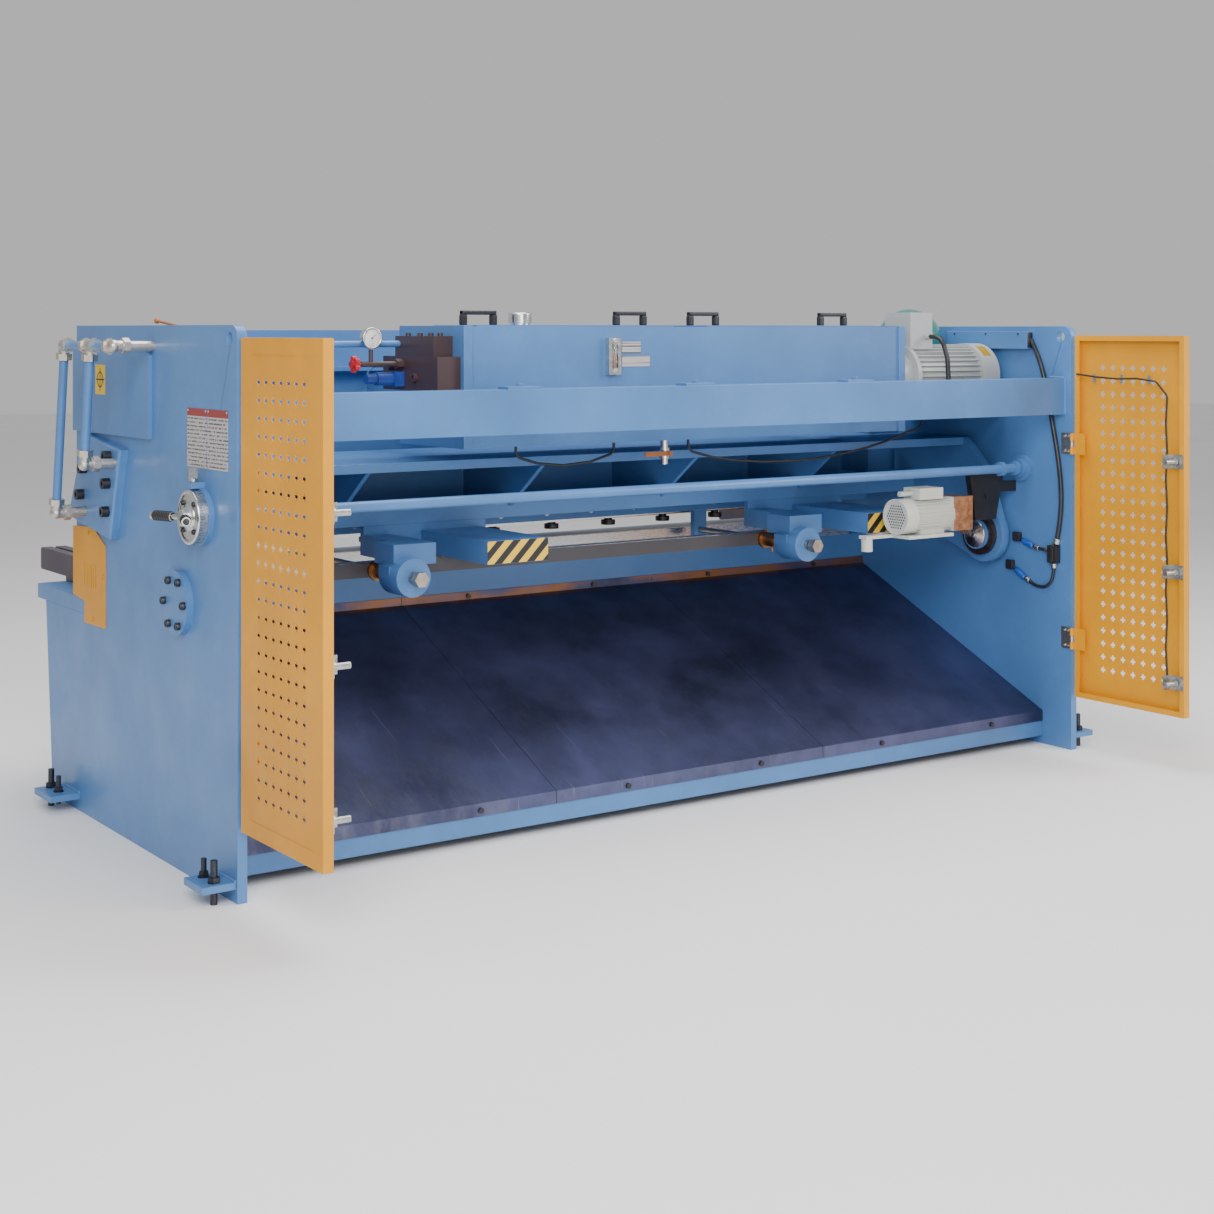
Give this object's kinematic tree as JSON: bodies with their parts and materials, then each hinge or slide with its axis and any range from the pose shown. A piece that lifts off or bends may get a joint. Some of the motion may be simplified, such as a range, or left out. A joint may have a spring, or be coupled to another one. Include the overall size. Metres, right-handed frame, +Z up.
{
  "type": "hydraulic swing-beam plate shear",
  "caption": "Hydraulic swing-beam shear for steel plate, seen from its delivery side: side plates, tank and pump on top, back gauge, chute and hinged guard wings.",
  "frame": {"origin": "middle of the bounding box at the floor", "axes": "+X towards the side with the blade-gap dial, +Y rearwards where cut plates slide out, +Z up"},
  "size_m": [3.7054, 2.46, 1.67],
  "materials": {
    "body_blue": "satin steel-blue paint",
    "lid_blue": "satin steel-blue paint",
    "guard_yellow": "amber yellow powder coat",
    "chute_steel": "dark worn sheet steel",
    "arm_dark": "dark paint, ground top",
    "blade_steel": "ground tool steel",
    "zinc": "zinc-plated steel",
    "turned_steel": "turned steel",
    "chrome_parts": "polished",
    "pipe_steel": "drawn steel tube",
    "dark_block": "dark oxide",
    "motor_grey": "light grey paint on cast aluminium",
    "accumulator_teal": "gloss teal paint",
    "plastic_blue": "moulded coil sleeve",
    "plastic_black": "black plastic and rubber",
    "handle_red": "red plastic",
    "handle_orange": "painted lever",
    "plates": "printed plates with plain patterns"
  },
  "bodies": {
    "frame": {"side_plate_left": "body_blue", "side_plate_right": "body_blue", "cross_beams": "body_blue", "bed": "body_blue", "lower_blade": "blade_steel", "support_arms": "arm_dark", "front_beam": "body_blue", "front_guard": "guard_yellow", "side_guards": "guard_yellow", "floor_bolts": "zinc", "chute_sheets": "chute_steel", "cap_screws": "zinc", "cylinder_units": "body_blue", "pivot_pins": "turned_steel", "shaft_bearings": "body_blue", "drive_cover": "plastic_black", "oil_tank": "body_blue", "tank_brackets": "body_blue", "level_gauge": "chrome_parts", "nameplates": "plates", "drain_valve": "chrome_parts", "valve_manifold": "dark_block", "solenoid_valve": "plastic_blue", "pressure_gauge": "chrome_parts", "manifold_pipes": "pipe_steel", "pump_motor": "motor_grey", "accumulator": "accumulator_teal", "motor_hoses": "plastic_black", "cylinder_pipes": "pipe_steel", "pipe_fittings": "zinc", "wall_conduit": "plastic_black", "grease_pump": "dark_block", "frame_hinges": "zinc"},
    "swing_beam": {"swing_beam": "body_blue", "upper_blade": "blade_steel", "gauge_arms": "body_blue", "gauge_motor": "motor_grey"},
    "ram_left": {"ram_left": "turned_steel"},
    "ram_right": {"ram_right": "turned_steel"},
    "gap_disc_left": {"gap_disc_left": "turned_steel"},
    "gap_disc_right": {"gap_disc_right": "turned_steel"},
    "back_gauge": {"gauge_bar": "dark_block", "gauge_nuts": "zinc"},
    "lead_screw_left": {"lead_screw_left": "turned_steel"},
    "lead_screw_right": {"lead_screw_right": "turned_steel"},
    "hold_downs": {"holddown_feet": "turned_steel"},
    "gap_setting": {"gap_shaft": "turned_steel", "gap_dial": "turned_steel"},
    "gap_knob": {"gap_knob": "plastic_black"},
    "tank_lid_left": {"tank_lid_left": "lid_blue"},
    "tank_lid_right": {"tank_lid_right": "lid_blue"},
    "filler_cap": {"filler_cap": "chrome_parts"},
    "drain_lever": {"drain_lever": "handle_orange"},
    "isolator_handwheel": {"isolator_handwheel": "handle_red"},
    "grease_lever": {"grease_lever": "handle_orange"},
    "left_door": {"left_door": "guard_yellow", "wing_sensors_left": "plastic_black"},
    "right_door": {"right_door": "guard_yellow", "wing_sensors_right": "plastic_black", "door_cable": "plastic_black"}
  },
  "joints": [
    {"name": "swing", "type": "hinge", "parent": "frame", "child": "swing_beam", "pos_m": [0, 0.31, 0.787], "axis": [1, 0, 0], "range_deg": [0, 6.5], "stiffness_Nm_per_rad": 5000, "springref_deg": -114.59},
    {"name": "hold_down_press", "type": "slide", "parent": "frame", "child": "hold_downs", "axis": [0, 0, -1], "range_m": [0, 0.0245], "stiffness_N_per_m": 5000, "springref_m": -0.05},
    {"name": "gauge_slide", "type": "slide", "parent": "swing_beam", "child": "back_gauge", "axis": [0, -1, 0], "range_m": [0, 0.325]},
    {"name": "gap_turn", "type": "hinge", "parent": "frame", "child": "gap_setting", "pos_m": [1.73, 0.47, 1.052], "axis": [1, 0, 0], "range_deg": [-30, 30]},
    {"name": "knob_turn", "type": "hinge", "parent": "frame", "child": "gap_knob", "pos_m": [1.735, 0.47, 1.162], "axis": [0, 0, 1], "range_deg": [0, 180]},
    {"name": "lid_left_lift", "type": "slide", "parent": "frame", "child": "tank_lid_left", "axis": [0, 0, 1], "range_m": [0, 0.15]},
    {"name": "lid_right_lift", "type": "slide", "parent": "frame", "child": "tank_lid_right", "axis": [0, 0, 1], "range_m": [0, 0.15]},
    {"name": "filler_turn", "type": "hinge", "parent": "tank_lid_left", "child": "filler_cap", "pos_m": [0.436, 0.16, 1.62], "axis": [0, 0, 1], "range_deg": [0, 90]},
    {"name": "drain_turn", "type": "hinge", "parent": "frame", "child": "drain_lever", "pos_m": [-0.06, 0.34, 1.16], "axis": [0, 1, 0], "range_deg": [0, 90]},
    {"name": "isolator_turn", "type": "hinge", "parent": "frame", "child": "isolator_handwheel", "pos_m": [1.03, 0.12, 1.475], "axis": [1, 0, 0], "range_deg": [0, 720]},
    {"name": "grease_stroke", "type": "hinge", "parent": "frame", "child": "grease_lever", "pos_m": [1.646, 0.22, 1.59], "axis": [-1, 0, 0], "range_deg": [0, 45]},
    {"name": "left_door_swing", "type": "hinge", "parent": "frame", "child": "left_door", "pos_m": [1.665, 0.722, 0.79], "axis": [0, 0, 1], "range_deg": [0, 90]},
    {"name": "right_door_swing", "type": "hinge", "parent": "frame", "child": "right_door", "pos_m": [-1.665, 0.722, 0.79], "axis": [0, 0, -1], "range_deg": [0, 90]},
    {"name": "ram_left_stroke", "type": "slide", "parent": "frame", "child": "ram_left", "axis": [0, 0, -1], "range_m": [0, 0.0695]},
    {"name": "gap_disc_left_turn", "type": "hinge", "parent": "frame", "child": "gap_disc_left", "pos_m": [1.601, 0.31, 0.787], "axis": [1, 0, 0], "range_deg": [-15, 15]},
    {"name": "lead_screw_left_turn", "type": "hinge", "parent": "swing_beam", "child": "lead_screw_left", "pos_m": [0.917, 0.01, 0.797], "axis": [0, 1, 0], "range_deg": [0, 5851]},
    {"name": "ram_right_stroke", "type": "slide", "parent": "frame", "child": "ram_right", "axis": [0, 0, -1], "range_m": [0, 0.0695]},
    {"name": "gap_disc_right_turn", "type": "hinge", "parent": "frame", "child": "gap_disc_right", "pos_m": [-1.601, 0.31, 0.787], "axis": [1, 0, 0], "range_deg": [-15, 15]},
    {"name": "lead_screw_right_turn", "type": "hinge", "parent": "swing_beam", "child": "lead_screw_right", "pos_m": [-0.733, 0.01, 0.797], "axis": [0, 1, 0], "range_deg": [0, 5851]}
  ],
  "couplings": [
    {"joint": "ram_left_stroke", "follows": "swing", "m_per_rad": 0.6117},
    {"joint": "gap_disc_left_turn", "follows": "gap_turn", "ratio": 0.5},
    {"joint": "lead_screw_left_turn", "follows": "gauge_slide", "rad_per_m": 314.16},
    {"joint": "ram_right_stroke", "follows": "swing", "m_per_rad": 0.6117},
    {"joint": "gap_disc_right_turn", "follows": "gap_turn", "ratio": 0.5},
    {"joint": "lead_screw_right_turn", "follows": "gauge_slide", "rad_per_m": 314.16}
  ]
}
